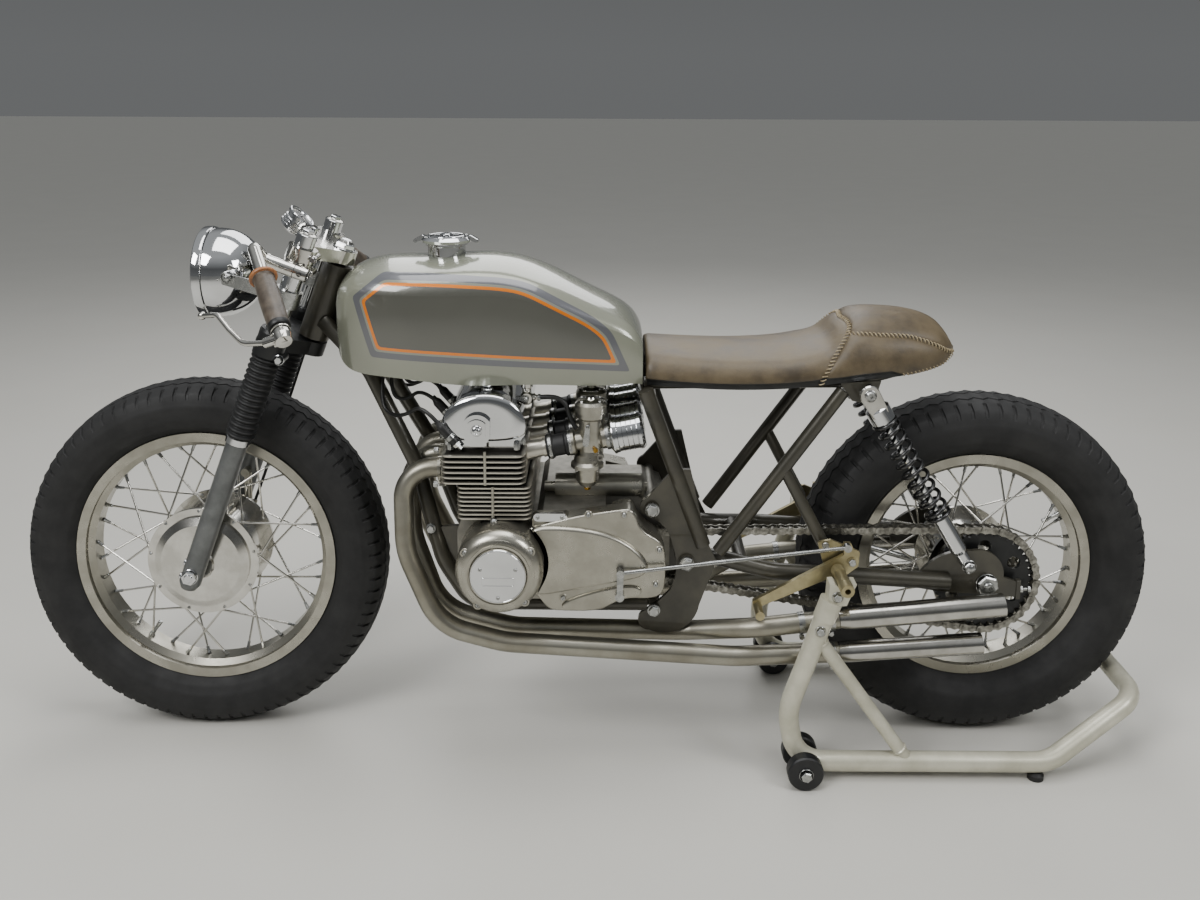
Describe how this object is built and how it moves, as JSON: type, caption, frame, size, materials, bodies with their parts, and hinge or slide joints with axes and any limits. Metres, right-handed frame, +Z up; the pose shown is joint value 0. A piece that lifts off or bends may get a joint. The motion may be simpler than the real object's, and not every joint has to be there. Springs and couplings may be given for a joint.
{
  "type": "cafe racer motorcycle",
  "caption": "Cafe racer motorcycle with spoked wheels, clip-on bars, an air-cooled in-line engine and stacked silencers, held up by a tubular paddock stand.",
  "frame": {"origin": "on the floor, halfway between the wheel axles, in the plane of symmetry", "axes": "+X towards the rear wheel, +Y towards the machine's right side, +Z up"},
  "size_m": [2.1048, 0.6678, 1.0021],
  "materials": {
    "tank_paint": "gloss",
    "frame_paint": "satin",
    "stand_paint": "satin",
    "cast_alloy": "rough cast",
    "satin_alloy": "satin",
    "polished_alloy": "polished",
    "bronze_alloy": "anodised",
    "chrome": "polished",
    "pipe_steel": "satin",
    "polished_steel": "polished",
    "bright_steel": "plated",
    "chain_steel": "oiled",
    "slider_paint": "satin",
    "spring_paint": "gloss",
    "black_steel": "satin",
    "tyre_rubber": "matte",
    "gaiter_rubber": "matte",
    "boot_rubber": "matte",
    "foot_rubber": "matte",
    "castor_plastic": "matte",
    "cable_sheath": "satin",
    "seat_leather": "aged",
    "grip_leather": "aged",
    "lens_glass": "clear"
  },
  "bodies": {
    "frame": {"frame_main": "frame_paint", "frame_rear": "frame_paint", "swingarm": "frame_paint", "shocks": "chrome", "shock_springs": "spring_paint", "crankcase": "cast_alloy", "cylinders": "cast_alloy", "cylinder_head": "cast_alloy", "rocker_cover": "polished_alloy", "alternator_cover": "polished_alloy", "gearbox_cover": "satin_alloy", "right_covers": "satin_alloy", "starter_cover": "satin_alloy", "carburettors": "satin_alloy", "intake_boots": "boot_rubber", "pod_filters": "chrome", "header_pipes": "pipe_steel", "header_clamps": "cast_alloy", "silencers": "polished_steel", "fuel_tank": "tank_paint", "fuel_cap": "chrome", "seat": "seat_leather", "rearsets": "bronze_alloy", "shift_linkage": "bright_steel", "drive_chain": "chain_steel", "rear_brake": "bright_steel", "stand_frame": "stand_paint", "stand_feet": "foot_rubber"},
    "steering": {"fork_sliders": "slider_paint", "fork_gaiters": "gaiter_rubber", "fork_stanchions": "chrome", "bottom_yoke": "black_steel", "top_yoke": "polished_alloy", "headlight_shell": "chrome", "headlight_lens": "lens_glass", "headlight_brackets": "bright_steel", "handlebars": "polished_alloy", "grips": "grip_leather", "levers": "polished_alloy", "speedometer": "chrome", "front_brake": "satin_alloy", "front_brake_cable": "cable_sheath"},
    "front_wheel": {"front_tyre": "tyre_rubber", "front_rim": "satin_alloy", "front_hub": "polished_alloy"},
    "rear_wheel": {"rear_tyre": "tyre_rubber", "rear_rim": "satin_alloy", "rear_hub": "polished_alloy", "rear_sprocket": "black_steel"},
    "castors_left": {"castors_left": "castor_plastic"},
    "castors_right": {"castors_right": "castor_plastic"}
  },
  "joints": [
    {"name": "steering", "type": "hinge", "parent": "frame", "child": "steering", "pos_m": [-0.48405, 0, 0.82629], "axis": [0.3502, 0, 0.9367], "range_deg": [-30, 30]},
    {"name": "front_wheel_spin", "type": "hinge", "parent": "steering", "child": "front_wheel", "pos_m": [-0.72, 0, 0.338], "axis": [0, 1, 0], "continuous": true},
    {"name": "rear_wheel_spin", "type": "hinge", "parent": "frame", "child": "rear_wheel", "pos_m": [0.72, 0, 0.329], "axis": [0, 1, 0], "continuous": true},
    {"name": "castor_left_spin", "type": "hinge", "parent": "frame", "child": "castors_left", "pos_m": [0.382, -0.19, 0.0315], "axis": [0, 1, 0], "continuous": true},
    {"name": "castor_right_spin", "type": "hinge", "parent": "frame", "child": "castors_right", "pos_m": [0.382, 0.19, 0.0315], "axis": [0, 1, 0], "continuous": true}
  ]
}
